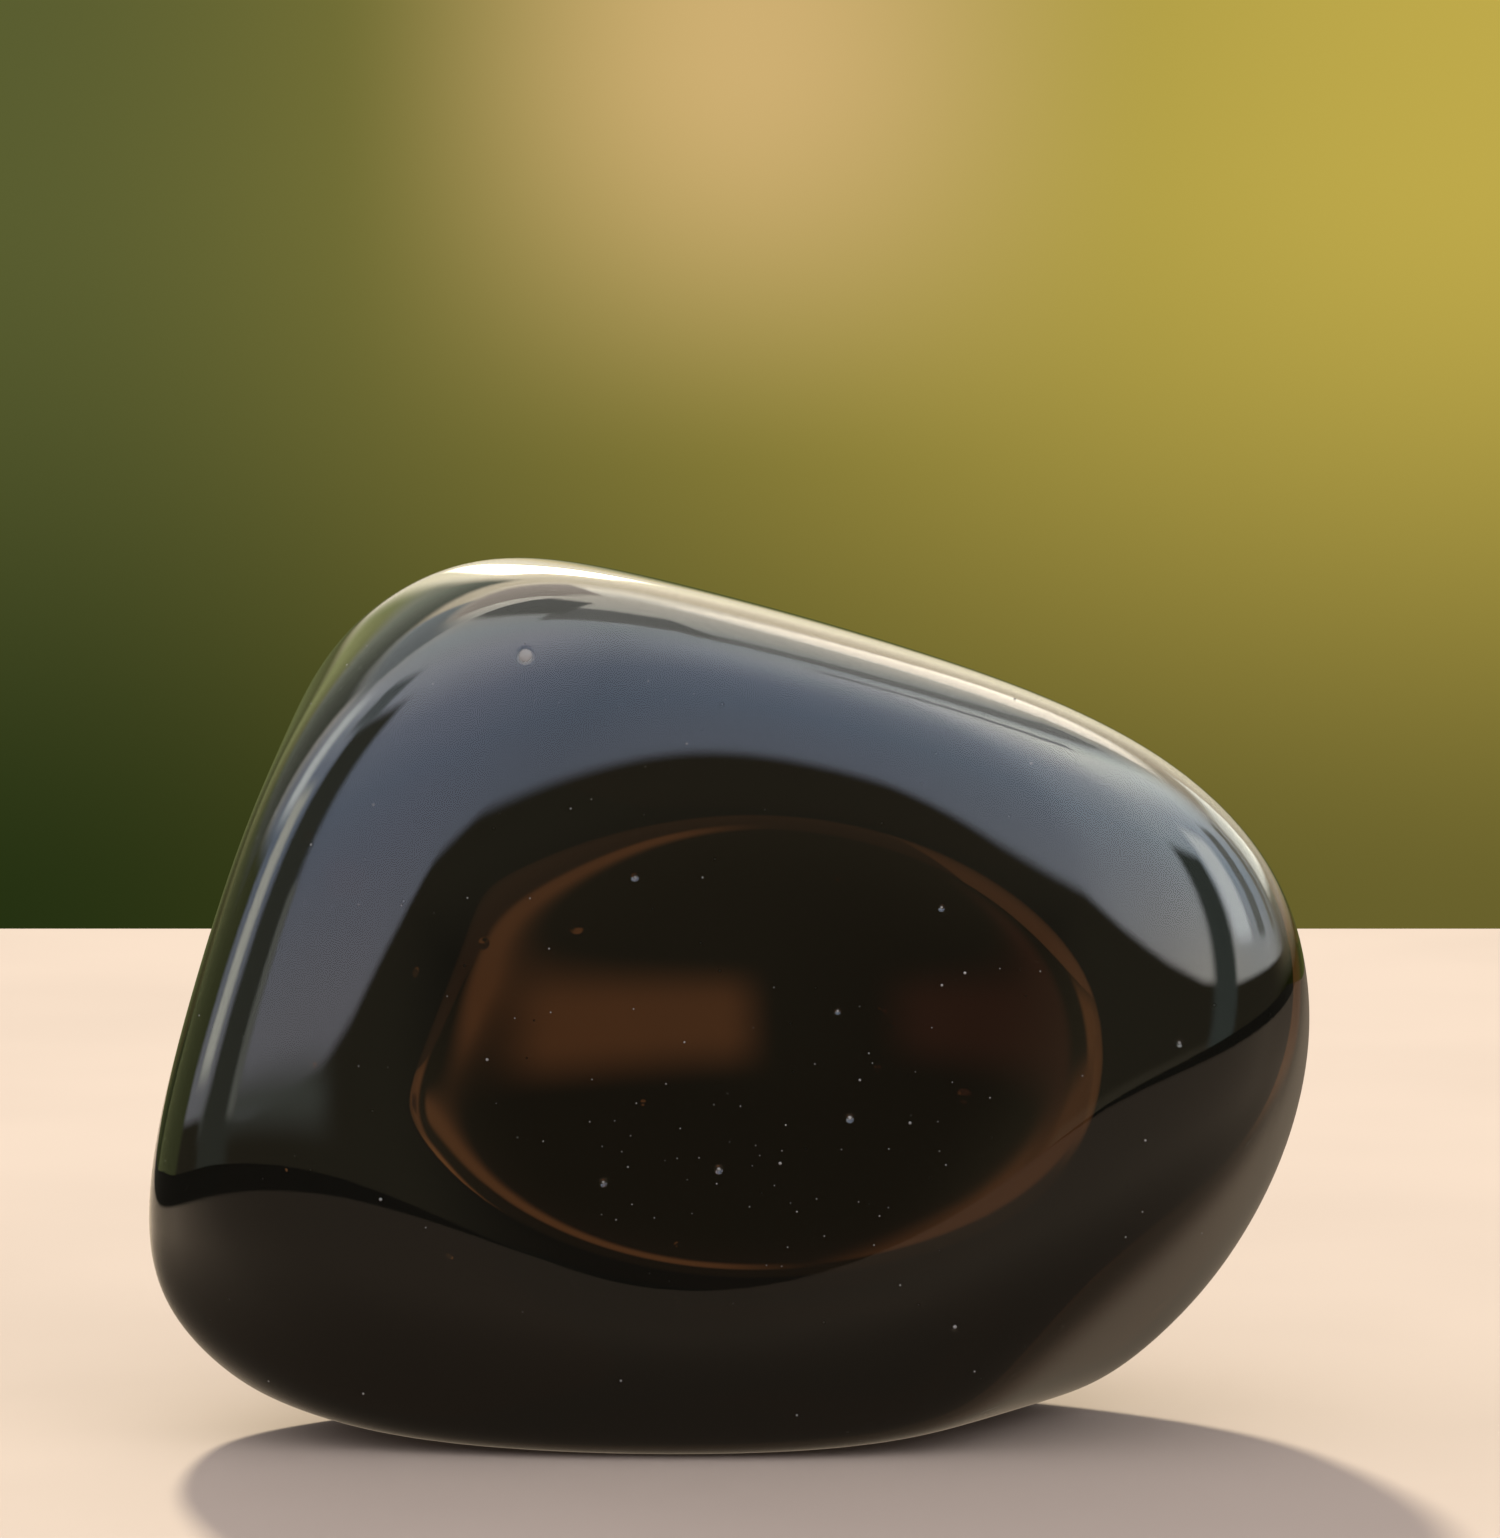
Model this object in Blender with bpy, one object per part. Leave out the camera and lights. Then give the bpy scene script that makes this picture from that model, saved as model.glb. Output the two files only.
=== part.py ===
"""Obsidian chunk: one tumbled and polished stone of dark, see-through volcanic glass.

The stone is a lump of glass that was broken with flat sides and then worn in a tumbler, until its
flats run into each other over soft edges. It is described the same way: each flat has a direction, a
reach from the heart of the stone and an amount of wear, and the surface lies where they blend.
Two flats, the front and the back, also have a round bevel worn around them.

Right is +X, the back is +Y and up is +Z. The origin is under the middle of the stone, in the plane of
the patch that it rests on.
"""

from typing import NamedTuple

import bmesh
import bpy
import numpy as np

MM = 0.001  # metres in a millimetre; every size below is in millimetres, every angle in degrees

NODE_NAME = "obsidian_stone"

# The heart is the point inside the stone that every reach is measured from.
HEART = (-0.15, 0.97, 11.8)


class Flat(NamedTuple):
    """A worn flat side of the stone."""

    azimuth: float  # heading that it faces: 0 is right, 90 the back, -90 the front
    tilt: float  # how far it looks up (+) or down (-)
    reach: float  # distance from the heart
    wear: float  # how softly it runs into its neighbours


class Bevel(NamedTuple):
    """A round bevel worn all around a flat."""

    azimuth: float  # heading of its axis
    tilt: float  # tilt of its axis
    reach: float  # distance of its rim from the heart, along the axis
    half_width: float  # of the rim
    half_height: float  # of the rim
    slope: float  # between the flat and the bevel
    wear: float  # how softly the rim is rounded
    to_right: float  # offset of the axis from the heart
    up: float  # offset of the axis from the heart


FLATS = {
    "front": Flat(-90, 9, 10.8, 0.8),
    "back": Flat(91, -18, 8.6, 0.25),
    "back_left": Flat(136, 3, 11.2, 0.25),
    "back_top_left": Flat(112, 25, 10.6, 0.7),
    "back_top": Flat(80, 50, 10.4, 0.9),
    "back_top_right": Flat(40, 34, 12.5, 0.9),
    "back_right": Flat(38, -14, 13.9, 0.9),
    "back_lower_left": Flat(146, -14, 13.3, 0.9),
    "left": Flat(175, 15, 14.54, 1.4),
    "right": Flat(-5, -1.5, 18.02, 1.6),
    "top": Flat(15, 74, 11.46, 1.1),
    "top_left_corner": Flat(205, 54, 16.32, 1.6),
    "right_shoulder": Flat(12, 44, 14.03, 1.6),
    "lower_right": Flat(-30, -42, 15.77, 2.2),
    "lower_left": Flat(205, -55, 17.61, 2.2),
    "underside": Flat(0, -90, 12.0, 0.5),
}

BEVELS = {
    "front": Bevel(-90, 9, 10.8, 11.2, 11.2, 16, 0.5, 0.4, -0.2),
    "back": Bevel(90, -6, 8.6, 9.2, 6.3, 50, 0.25, 0.7, -0.7),
}

# The mesh starts as a cube with this many cells along each edge, blown up into a ball.
CELLS = 26
# Every ray from the heart leaves the stone before this distance.
FARTHEST = 30.0
# Halving the search this often places the surface far below a micrometre.
HALVINGS = 40

# Finish of the polished glass.
GLASS_COLOUR = (0.020, 0.012, 0.008, 1.0)
GLASS_ROUGHNESS = 0.03
GLASS_IOR = 1.49


def clear_scene():
    """Remove whatever objects the opened file came with."""
    for old in list(bpy.data.objects):
        bpy.data.objects.remove(old, do_unlink=True)


def heading(azimuth, tilt):
    """Unit vector that points along an azimuth and a tilt."""
    turn, lift = np.radians(azimuth), np.radians(tilt)
    return np.array([np.cos(turn) * np.cos(lift), np.sin(turn) * np.cos(lift), np.sin(lift)])


def beyond_flat(flat, offsets):
    """How far points stand beyond a flat, in units of its wear."""
    return (offsets @ heading(flat.azimuth, flat.tilt) - flat.reach) / flat.wear


def beyond_bevel(bevel, offsets):
    """How far points stand beyond a bevel, in units of its wear."""
    axis = heading(bevel.azimuth, bevel.tilt)
    right = np.array([1.0, 0.0, 0.0])
    up = np.cross(axis, right)
    up *= np.sign(up[2])
    across = (offsets @ right - bevel.to_right) / bevel.half_width
    along = (offsets @ up - bevel.up) / bevel.half_height
    rim_size = np.sqrt(bevel.half_width * bevel.half_height)
    outward = (np.hypot(across, along) - 1.0) * rim_size
    slope = np.radians(bevel.slope)
    past_rim = offsets @ axis - bevel.reach
    return (outward * np.sin(slope) + past_rim * np.cos(slope)) / bevel.wear


def outside(offsets):
    """Blend of all flats and bevels: above zero outside the stone, below zero inside it."""
    parts = [beyond_flat(flat, offsets) for flat in FLATS.values()]
    parts += [beyond_bevel(bevel, offsets) for bevel in BEVELS.values()]
    return np.logaddexp.reduce(parts, axis=0)


def worn_surface(directions):
    """Offsets from the heart to the surface, one along each direction."""
    near = np.zeros(len(directions))
    far = np.full(len(directions), FARTHEST)
    for _ in range(HALVINGS):
        middle = (near + far) / 2
        inside = outside(directions * middle[:, None]) < 0
        near = np.where(inside, middle, near)
        far = np.where(inside, far, middle)
    return directions * near[:, None]


def ball(cells):
    """A cube of even cells blown up into a ball of radius 1, as a bmesh."""
    mesh = bmesh.new()
    bmesh.ops.create_cube(mesh, size=2.0)
    bmesh.ops.subdivide_edges(mesh, edges=mesh.edges, cuts=cells - 1, use_grid_fill=True)
    for vert in mesh.verts:
        spread = np.tan(np.array(vert.co) * np.pi / 4)
        vert.co = spread / np.linalg.norm(spread)
    return mesh


def make_stone():
    """The stone, standing on the flat patch of its underside."""
    mesh = ball(CELLS)
    directions = np.array([vert.co for vert in mesh.verts], dtype=float)
    directions /= np.linalg.norm(directions, axis=1, keepdims=True)
    places = worn_surface(directions) + np.array(HEART)
    # What would reach below the table is ground flat: the patch that the stone rests on.
    places[:, 2] = np.maximum(places[:, 2], 0.0)
    for vert, place in zip(mesh.verts, places):
        vert.co = place * MM
    bmesh.ops.triangulate(mesh, faces=mesh.faces)
    bmesh.ops.recalc_face_normals(mesh, faces=mesh.faces)

    data = bpy.data.meshes.new(NODE_NAME)
    mesh.to_mesh(data)
    mesh.free()
    data.shade_smooth()
    stone = bpy.data.objects.new(NODE_NAME, data)
    bpy.context.collection.objects.link(stone)
    return stone


def polished_glass():
    """Dark volcanic glass with a tumbled polish."""
    material = bpy.data.materials.new("polished_obsidian")
    material.use_nodes = True
    shader = material.node_tree.nodes["Principled BSDF"]
    shader.inputs["Base Color"].default_value = GLASS_COLOUR
    shader.inputs["Metallic"].default_value = 0.0
    shader.inputs["Roughness"].default_value = GLASS_ROUGHNESS
    shader.inputs["IOR"].default_value = GLASS_IOR
    material.diffuse_color = GLASS_COLOUR
    return material


clear_scene()
stone = make_stone()
stone.data.materials.append(polished_glass())
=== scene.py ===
"""Looks of the obsidian chunk: one tumbled, polished stone of dark, see-through volcanic glass.

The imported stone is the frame. Around it this script builds the fine polished surface with its pits,
the pale specks at that surface, the glass itself, and a plain stage to see it on.

Right is +X, the back is +Y and up is +Z. Sizes in the settings and in the shape are millimetres.
"""

import math
from typing import NamedTuple

import bmesh
import bpy
import numpy as np
from bpy.props import FloatProperty, FloatVectorProperty, IntProperty, PointerProperty
from bpy.types import Operator, Panel, PropertyGroup
from mathutils import Matrix, Vector


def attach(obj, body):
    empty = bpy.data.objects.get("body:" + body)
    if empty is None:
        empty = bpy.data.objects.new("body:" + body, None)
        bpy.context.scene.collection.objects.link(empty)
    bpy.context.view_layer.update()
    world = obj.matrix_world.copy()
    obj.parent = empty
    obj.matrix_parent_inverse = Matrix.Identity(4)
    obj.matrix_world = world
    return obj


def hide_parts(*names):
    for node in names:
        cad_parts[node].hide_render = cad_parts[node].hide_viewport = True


bl_info = {
    "name": "Obsidian chunk",
    "version": (1, 0, 0),
    "blender": (4, 5, 0),
    "location": "3D View > Sidebar > Obsidian",
    "description": "Builds the polished surface, glass and stage of a tumbled obsidian stone",
    "category": "Object",
}

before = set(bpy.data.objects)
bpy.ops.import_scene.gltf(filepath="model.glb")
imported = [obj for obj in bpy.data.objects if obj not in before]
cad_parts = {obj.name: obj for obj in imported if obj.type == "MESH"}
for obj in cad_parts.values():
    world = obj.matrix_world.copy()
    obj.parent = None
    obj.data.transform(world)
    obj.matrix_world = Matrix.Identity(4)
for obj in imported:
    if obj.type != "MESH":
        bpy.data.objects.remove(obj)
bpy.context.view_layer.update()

MM = 0.001  # metres in a millimetre
BODY = "root"
STONE_NODE = "obsidian_stone"


# ---------------------------------------------------------------- shape of the stone

# The heart is the point inside the stone that every reach is measured from.
HEART = np.array([-0.15, 0.97, 11.8])
# Every ray from the heart leaves the stone before this distance.
FARTHEST = 30.0
# Halving the search this often places the surface far below a micrometre.
HALVINGS = 40


class Flat(NamedTuple):
    """A worn flat side: where it faces, how far it is from the heart, how softly it blends."""

    azimuth: float
    tilt: float
    reach: float
    wear: float


class Bevel(NamedTuple):
    """A round bevel worn all around a flat, with the half sizes of its rim and its slope."""

    azimuth: float
    tilt: float
    reach: float
    half_width: float
    half_height: float
    slope: float
    wear: float
    to_right: float
    up: float


FLATS = {
    "front": Flat(-90, 9, 10.8, 0.8),
    "back": Flat(91, -18, 8.6, 0.25),
    "back_left": Flat(136, 3, 11.2, 0.25),
    "back_top_left": Flat(112, 25, 10.6, 0.7),
    "back_top": Flat(80, 50, 10.4, 0.9),
    "back_top_right": Flat(40, 34, 12.5, 0.9),
    "back_right": Flat(38, -14, 13.9, 0.9),
    "back_lower_left": Flat(146, -14, 13.3, 0.9),
    "left": Flat(175, 15, 14.54, 1.4),
    "right": Flat(-5, -1.5, 18.02, 1.6),
    "top": Flat(15, 74, 11.46, 1.1),
    "top_left_corner": Flat(205, 54, 16.32, 1.6),
    "right_shoulder": Flat(12, 44, 14.03, 1.6),
    "lower_right": Flat(-30, -42, 15.77, 2.2),
    "lower_left": Flat(205, -55, 17.61, 2.2),
    "underside": Flat(0, -90, 12.0, 0.5),
}

BEVELS = {
    "front": Bevel(-90, 9, 10.8, 11.2, 11.2, 16, 0.5, 0.4, -0.2),
    "back": Bevel(90, -6, 8.6, 9.2, 6.3, 50, 0.25, 0.7, -0.7),
}


class Wave(NamedTuple):
    """A long, very shallow wave that the tumbler left in the polish."""

    azimuth: float
    tilt: float
    length: float
    height: float
    phase: float


WAVES = (
    Wave(20, 35, 13.0, 0.014, 0.4),
    Wave(75, -20, 9.5, 0.008, 2.1),
    Wave(-35, 60, 7.0, 0.004, 4.0),
    Wave(140, 10, 5.5, 0.002, 1.2),
)
# The waves and pits fade out within this height over the table, so that the stone rests flat.
QUIET_HEIGHT = 1.2


class Pit(NamedTuple):
    """A small round pit, by its place across and up the front and its size."""

    to_right: float
    up: float
    radius: float
    depth: float


FRONT_PITS = (
    Pit(-5.90, 22.66, 0.32, 0.030),
    Pit(-2.76, 16.49, 0.14, 0.020),
    Pit(5.94, 15.64, 0.13, 0.018),
    Pit(2.99, 12.74, 0.12, 0.016),
    Pit(-0.38, 8.32, 0.16, 0.024),
    Pit(-3.66, 7.93, 0.15, 0.022),
    Pit(3.33, 9.75, 0.16, 0.024),
    Pit(12.69, 11.74, 0.14, 0.020),
    Pit(6.31, 3.79, 0.18, 0.026),
)
# Pits on the back half lie where the numbered seed puts them.
STRAY_PITS = 22
STRAY_RADIUS = (0.10, 0.26)
STRAY_DEPTH_SHARE = 0.18
PIT_SEED = 11


def heading(azimuth, tilt):
    """Unit vector that points along an azimuth and a tilt, in degrees."""
    turn, lift = math.radians(azimuth), math.radians(tilt)
    return np.array(
        [math.cos(turn) * math.cos(lift), math.sin(turn) * math.cos(lift), math.sin(lift)]
    )


def beyond_flat(flat, offsets):
    """How far points stand beyond a flat, in units of its wear."""
    return (offsets @ heading(flat.azimuth, flat.tilt) - flat.reach) / flat.wear


def beyond_bevel(bevel, offsets):
    """How far points stand beyond a bevel, in units of its wear."""
    axis = heading(bevel.azimuth, bevel.tilt)
    right = np.array([1.0, 0.0, 0.0])
    up = np.cross(axis, right)
    up *= np.sign(up[2])
    across = (offsets @ right - bevel.to_right) / bevel.half_width
    along = (offsets @ up - bevel.up) / bevel.half_height
    rim_size = math.sqrt(bevel.half_width * bevel.half_height)
    outward = (np.hypot(across, along) - 1.0) * rim_size
    slope = math.radians(bevel.slope)
    past_rim = offsets @ axis - bevel.reach
    return (outward * math.sin(slope) + past_rim * math.cos(slope)) / bevel.wear


def outside(offsets):
    """Blend of all flats and bevels: above zero outside the stone, below zero inside it."""
    parts = [beyond_flat(flat, offsets) for flat in FLATS.values()]
    parts += [beyond_bevel(bevel, offsets) for bevel in BEVELS.values()]
    return np.logaddexp.reduce(parts, axis=0)


def worn_surface(directions):
    """Places on the worn surface, one along each direction from the heart."""
    near = np.zeros(len(directions))
    far = np.full(len(directions), FARTHEST)
    for _ in range(HALVINGS):
        middle = (near + far) / 2
        inside = outside(directions * middle[:, None]) < 0
        near = np.where(inside, middle, near)
        far = np.where(inside, far, middle)
    return HEART + directions * near[:, None]


def unit(vectors):
    """The vectors at length one."""
    return vectors / np.linalg.norm(vectors, axis=-1, keepdims=True)


def towards_front(to_right, up):
    """Direction from the heart to the spot on the front that is this far across and up."""
    near, far = 0.0, FARTHEST
    for _ in range(HALVINGS):
        middle = (near + far) / 2
        offset = np.array([to_right, HEART[1] - middle, up]) - HEART
        if outside(offset) < 0:
            near = middle
        else:
            far = middle
    return unit(offset)


def scattered_directions(count, rng):
    """Directions spread evenly over the whole stone by a seeded generator."""
    return unit(rng.normal(size=(count, 3)))


def all_pits():
    """Places, radii and depths of the pits, those of the front and the stray ones."""
    rng = np.random.default_rng(PIT_SEED)
    directions = [towards_front(pit.to_right, pit.up) for pit in FRONT_PITS]
    stray = scattered_directions(STRAY_PITS, rng)
    stray[:, 1] = np.abs(stray[:, 1])
    directions += list(stray)
    stray_radii = rng.uniform(*STRAY_RADIUS, size=STRAY_PITS)
    radii = [pit.radius for pit in FRONT_PITS] + list(stray_radii)
    depths = [pit.depth for pit in FRONT_PITS] + list(stray_radii * STRAY_DEPTH_SHARE)
    return worn_surface(np.array(directions)), np.array(radii), np.array(depths)


def polish_depth(places, pits):
    """How far the finished surface lies under (-) or over (+) the worn one, at each place."""
    lift = np.zeros(len(places))
    for wave in WAVES:
        along = places @ heading(wave.azimuth, wave.tilt)
        lift += wave.height * np.sin(2 * np.pi * along / wave.length + wave.phase)
    for centre, radius, depth in zip(*pits):
        share = np.linalg.norm(places - centre, axis=1) / radius
        lift -= np.where(share < 1, depth * (1 - share**2) ** 2, 0.0)
    return lift * np.clip(places[:, 2] / QUIET_HEIGHT, 0.0, 1.0)


# ---------------------------------------------------------------- settings


class StoneSettings(PropertyGroup):
    """Surface and glass of the stone."""

    cells: IntProperty(
        name="Cells",
        description="Cells along each edge of the ball that the surface starts from",
        default=112,
        min=20,
        max=120,
    )
    pit_cuts: IntProperty(
        name="Pit cuts",
        description="How often the mesh is cut finer around each pit",
        default=3,
        min=0,
        max=4,
    )
    tint: FloatVectorProperty(
        name="Glass tint",
        description="Colour that the surface gives to light passing through it",
        subtype="COLOR",
        size=3,
        min=0,
        max=1,
        default=(0.94, 0.92, 0.90),
    )
    depth_colour: FloatVectorProperty(
        name="Depth colour",
        description="Colour that light keeps longest on its way through the glass",
        subtype="COLOR",
        size=3,
        min=0,
        max=1,
        default=(0.40, 0.24, 0.09),
    )
    depth_density: FloatProperty(
        name="Depth density",
        description="How fast the glass darkens with depth, per metre",
        default=240.0,
        min=0,
    )
    ior: FloatProperty(
        name="IOR", description="Bending of light by volcanic glass", default=1.49, min=1, max=2
    )


class SpeckSettings(PropertyGroup):
    """Pale specks at the surface."""

    count: IntProperty(
        name="Specks", description="Number of stray specks all around", default=150, min=0
    )
    colour: FloatVectorProperty(
        name="Speck colour",
        description="Colour of the pale mineral specks",
        subtype="COLOR",
        size=3,
        min=0,
        max=1,
        default=(0.40, 0.40, 0.42),
    )


class StageSettings(PropertyGroup):
    """Floor, surroundings and camera."""

    floor_colour: FloatVectorProperty(
        name="Floor colour",
        description="Colour of the plain pale floor",
        subtype="COLOR",
        size=3,
        min=0,
        max=1,
        default=(0.62, 0.52, 0.47),
    )
    floor_back: FloatProperty(
        name="Floor behind",
        description="How far the floor reaches behind the stone",
        default=0.115,
        unit="LENGTH",
        subtype="DISTANCE",
    )
    camera_tilt: FloatProperty(
        name="Camera tilt",
        description="How far the camera looks down",
        default=math.radians(6.0),
        unit="ROTATION",
        subtype="ANGLE",
    )
    camera_distance: FloatProperty(
        name="Camera distance",
        description="Distance from the camera to the stone",
        default=0.300,
        unit="LENGTH",
        subtype="DISTANCE",
    )


# ---------------------------------------------------------------- node helpers


def new_socket(group, name, kind, in_out, default=None):
    """Add a named input or output to a node group."""
    socket = group.interface.new_socket(name=name, in_out=in_out, socket_type=kind)
    if default is not None:
        socket.default_value = default
    return socket


def add_node(tree, kind, **settings):
    """Add a node and set its properties."""
    node = tree.nodes.new(kind)
    for name, value in settings.items():
        setattr(node, name, value)
    return node


def feed(tree, node, socket, source):
    """Set a node's input to a value, or link it to another node's output."""
    target = node.inputs[socket]
    if isinstance(source, bpy.types.NodeSocket):
        tree.links.new(source, target)
    else:
        target.default_value = source


def calculate(tree, operation, first, second=0.0, clamp=False):
    """Output of a Math node."""
    node = add_node(tree, "ShaderNodeMath", operation=operation, use_clamp=clamp)
    feed(tree, node, 0, first)
    feed(tree, node, 1, second)
    return node.outputs[0]


def remap(tree, value, low, high, to_low=0.0, to_high=1.0, kind="SMOOTHSTEP"):
    """Output of a Map Range node."""
    node = add_node(tree, "ShaderNodeMapRange", interpolation_type=kind)
    for socket, source in (
        ("Value", value),
        ("From Min", low),
        ("From Max", high),
        ("To Min", to_low),
        ("To Max", to_high),
    ):
        feed(tree, node, socket, source)
    return node.outputs["Result"]


def blend_colours(tree, factor, first, second, blend="MIX"):
    """Output of a Mix node for two colours."""
    node = add_node(tree, "ShaderNodeMix", data_type="RGBA", blend_type=blend)
    feed(tree, node, "Factor", factor)
    for index, source in ((6, first), (7, second)):
        feed(tree, node, index, source)
    return node.outputs[2]


def fresh_material(name):
    """A material with an empty node tree and an output node."""
    material = bpy.data.materials.new(name)
    material.use_nodes = True
    material.node_tree.nodes.clear()
    output = add_node(material.node_tree, "ShaderNodeOutputMaterial")
    return material, material.node_tree, output


# ---------------------------------------------------------------- shared effects


def clouds_group():
    """Soft patches between two values, for haze, smears and uneven colour."""
    group = bpy.data.node_groups.get("soft_patches")
    if group:
        return group
    group = bpy.data.node_groups.new("soft_patches", "ShaderNodeTree")
    for name, default in (("Scale", 100.0), ("Low", 0.0), ("High", 1.0), ("Stretch", 0.0)):
        new_socket(group, name, "NodeSocketFloat", "INPUT", default)
    new_socket(group, "Value", "NodeSocketFloat", "OUTPUT")
    inputs = add_node(group, "NodeGroupInput")
    outputs = add_node(group, "NodeGroupOutput")
    place = add_node(group, "ShaderNodeTexCoord")
    noise = add_node(group, "ShaderNodeTexNoise", noise_dimensions="3D")
    feed(group, noise, "Vector", place.outputs["Object"])
    feed(group, noise, "Scale", inputs.outputs["Scale"])
    feed(group, noise, "Detail", 3.0)
    feed(group, noise, "Distortion", inputs.outputs["Stretch"])
    spread = remap(
        group, noise.outputs["Fac"], 0.35, 0.65, inputs.outputs["Low"], inputs.outputs["High"]
    )
    group.links.new(spread, outputs.inputs["Value"])
    return group


def place_group(tree, group, **values):
    """Put a node group in a material with its own values."""
    node = add_node(tree, "ShaderNodeGroup", node_tree=group)
    for name, value in values.items():
        feed(tree, node, name, value)
    return node.outputs[0]


# ---------------------------------------------------------------- materials

GLASS_ROUGHNESS = (0.008, 0.022)  # between the clearest and the haziest spots of the polish
BAND_SHARE = 0.93  # brightness of the flow bands, as a share of the tint
DIM_GRIT_SHARE = 0.45
GRIT_ROUGHNESS = 0.7
FLOOR_ROUGHNESS = 0.8
DIM_FLOOR_SHARE = 0.94

# What the polish mirrors of the floor is a painted reflection, set apart from how the floor itself is
# lit: for glossy rays the floor glows. It has one colour, and a strength by heading around the stone:
# 0 degrees is the front, 90 the right. Its dim front is the painted shadow of the stone, and its
# bright sides are painted sunlit floor.
PAINTED_FLOOR_REFLECTION = (1.0, 0.79, 0.57)
PAINTED_REFLECTION_AROUND = (
    (-180, 0.6),
    (-120, 1.5),
    (-68, 1.8),
    (-52, 0.95),
    (-44, 0.57),
    (-36, 0.44),
    (0, 0.42),
    (34, 0.56),
    (47, 0.68),
    (70, 1.0),
    (95, 0.7),
    (125, 0.3),
    (180, 0.15),
)
PAINTED_REFLECTION_BRIGHTEST = 1.8
# Between these distances from the stone's middle, in metres, it rises from painted shade beside the
# stone to full strength.
STONE_SHADE = (0.014, 0.050)
PAINTED_SHADE_BESIDE_STONE = 0.28
# Here the painted reflection gives way to the dark belt, in metres to the right.
PAINTED_REFLECTION_LEFT_EDGE = (-0.088, -0.074)
PAINTED_REFLECTION_RIGHT_EDGE = (0.15, 0.18)
FLOOR_KEPT_UNDER_PAINTED_SHADE = 0.5  # painted shade: share of its brightness that the floor keeps where it is seen through the glass


def obsidian_glass(settings):
    """Dark brown volcanic glass with a tumbled polish: faint haze and faint flow bands."""
    material, tree, output = fresh_material("polished_obsidian")
    shader = add_node(tree, "ShaderNodeBsdfPrincipled")
    tree.links.new(shader.outputs["BSDF"], output.inputs["Surface"])

    bands = place_group(tree, clouds_group(), Scale=160.0, Low=0.0, High=1.0, Stretch=1.5)
    deep = (*[channel * BAND_SHARE for channel in settings.tint], 1.0)
    feed(tree, shader, "Base Color", blend_colours(tree, bands, (*settings.tint, 1.0), deep))

    clear, hazy = GLASS_ROUGHNESS
    haze = place_group(tree, clouds_group(), Scale=220.0, Low=clear, High=hazy, Stretch=0.6)
    feed(tree, shader, "Roughness", haze)

    shader.inputs["IOR"].default_value = settings.ior
    shader.inputs["Transmission Weight"].default_value = 1.0
    depth = add_node(tree, "ShaderNodeVolumeAbsorption")
    depth.inputs["Color"].default_value = (*settings.depth_colour, 1.0)
    depth.inputs["Density"].default_value = settings.depth_density
    tree.links.new(depth.outputs["Volume"], output.inputs["Volume"])
    return material


def pale_grit(settings):
    """Dull, pale mineral grains."""
    material, tree, output = fresh_material("pale_grit")
    shader = add_node(tree, "ShaderNodeBsdfPrincipled")
    tree.links.new(shader.outputs["BSDF"], output.inputs["Surface"])
    uneven = place_group(tree, clouds_group(), Scale=400.0, Low=0.0, High=1.0)
    dim = (*[channel * DIM_GRIT_SHARE for channel in settings.colour], 1.0)
    feed(tree, shader, "Base Color", blend_colours(tree, uneven, (*settings.colour, 1.0), dim))
    feed(tree, shader, "Roughness", GRIT_ROUGHNESS)
    return material


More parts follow.
